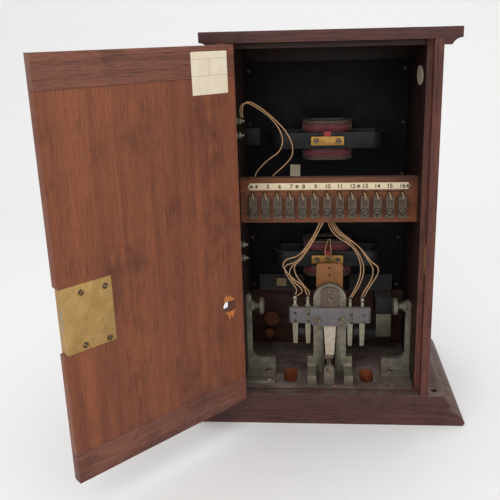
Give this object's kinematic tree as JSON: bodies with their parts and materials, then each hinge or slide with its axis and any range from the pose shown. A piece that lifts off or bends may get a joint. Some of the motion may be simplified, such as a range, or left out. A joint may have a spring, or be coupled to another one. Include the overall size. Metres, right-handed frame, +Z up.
{
  "type": "railway block instrument",
  "caption": "Two-dial wooden block instrument case with an open rear door, showing magnet coils, a terminal board, a lever commutator and a bell key.",
  "frame": {"origin": "middle of the base's underside, on the table", "axes": "+Z up, -Y the rear where the door stands open, +Y the front with the dials, +X to the right as seen from the rear"},
  "size_m": [0.4105, 0.374, 0.457],
  "materials": {
    "case_wood": "dark polished mahogany, worn",
    "board_wood": "dark mahogany boards",
    "door_wood": "mahogany with strong upright grain",
    "black_panel": "black painted panel",
    "black_iron": "black paint",
    "brass": "aged brass",
    "covered_wire": "copper wire with a red covering",
    "steel": "dull steel",
    "nickel": "tarnished nickel plate",
    "ivory": "ivory",
    "fibre": "brown fibre",
    "grey_ebonite": "grey ebonite",
    "black_ebonite": "black ebonite",
    "glass": "clear glass",
    "cloth": "braided covering",
    "copper": "bare copper"
  },
  "bodies": {
    "case": {"base_board": "case_wood", "left_side": "case_wood", "right_side": "case_wood", "cornice": "case_wood", "top_rail": "case_wood", "front_board": "case_wood", "floor_board": "board_wood", "dial_board": "board_wood", "lower_board": "board_wood", "terminal_board": "board_wood", "upper_panel": "black_panel", "lower_panel": "black_panel", "magnets": "black_iron", "bobbins": "brass", "bearing_bars": "brass", "bezels": "brass", "handle_plate": "brass", "plunger_bush": "brass", "hinge_case_leaves": "brass", "strike_plate": "brass", "strip_screws": "brass", "windings": "covered_wire", "leaf_pin": "steel", "friction_leaf": "steel", "back_contact": "steel", "commutator_frame": "nickel", "centre_lug": "nickel", "left_bracket": "nickel", "right_bracket": "nickel", "stop_screws": "nickel", "frame_screws": "nickel", "wall_terminals": "nickel", "terminal_screws": "nickel", "panel_screws": "nickel", "contact_springs": "nickel", "terminal_blocks": "nickel", "number_strip": "ivory", "dial_cards": "ivory", "fibre_block": "fibre", "barrier_plate": "fibre", "insulating_bar": "grey_ebonite", "key_block": "black_ebonite", "glasses": "glass", "upper_leads": "cloth", "lower_leads": "cloth", "terminal_tails": "copper"},
    "door": {"door_panel": "door_wood", "door_clamps": "door_wood", "lock_case": "brass", "hinge_door_leaves": "brass"},
    "bolt": {"lock_bolt": "brass"},
    "upper_needle": {"upper_arbor": "steel", "upper_pointer": "black_iron"},
    "lower_needle": {"lower_arbor": "steel", "lower_pointer": "black_iron"},
    "commutator": {"commutator_shaft": "steel", "cross_arm": "grey_ebonite", "handle": "brass"},
    "plunger": {"plunger": "brass"},
    "blade": {"contact_blade": "nickel"}
  },
  "joints": [
    {"name": "door_hinge", "type": "hinge", "parent": "case", "child": "door", "pos_m": [-0.1063, -0.1065, 0.2], "axis": [0, 0, 1], "range_deg": [-40, 133.5]},
    {"name": "bolt_slide", "type": "slide", "parent": "door", "child": "bolt", "axis": [-0.6884, -0.7254, 0], "range_m": [0, 0.008]},
    {"name": "upper_needle_turn", "type": "hinge", "parent": "case", "child": "upper_needle", "pos_m": [0, 0, 0.3285], "axis": [0, 1, 0], "range_deg": [-25, 25]},
    {"name": "lower_needle_turn", "type": "hinge", "parent": "case", "child": "lower_needle", "pos_m": [0, 0, 0.1785], "axis": [0, 1, 0], "range_deg": [-25, 25]},
    {"name": "commutator_turn", "type": "hinge", "parent": "case", "child": "commutator", "pos_m": [0.0019, 0, 0.099], "axis": [0, 1, 0], "range_deg": [-30, 30]},
    {"name": "plunger_push", "type": "slide", "parent": "case", "child": "plunger", "axis": [0, -1, 0], "range_m": [0, 0.004], "stiffness_N_per_m": 300, "springref_m": -0.003},
    {"name": "blade_swing", "type": "hinge", "parent": "case", "child": "blade", "pos_m": [0.0729, -0.00615, 0.0988], "axis": [-1, 0, 0], "range_deg": [0, 15]}
  ],
  "couplings": [
    {"joint": "blade_swing", "follows": "plunger_push", "rad_per_m": 63.3}
  ]
}
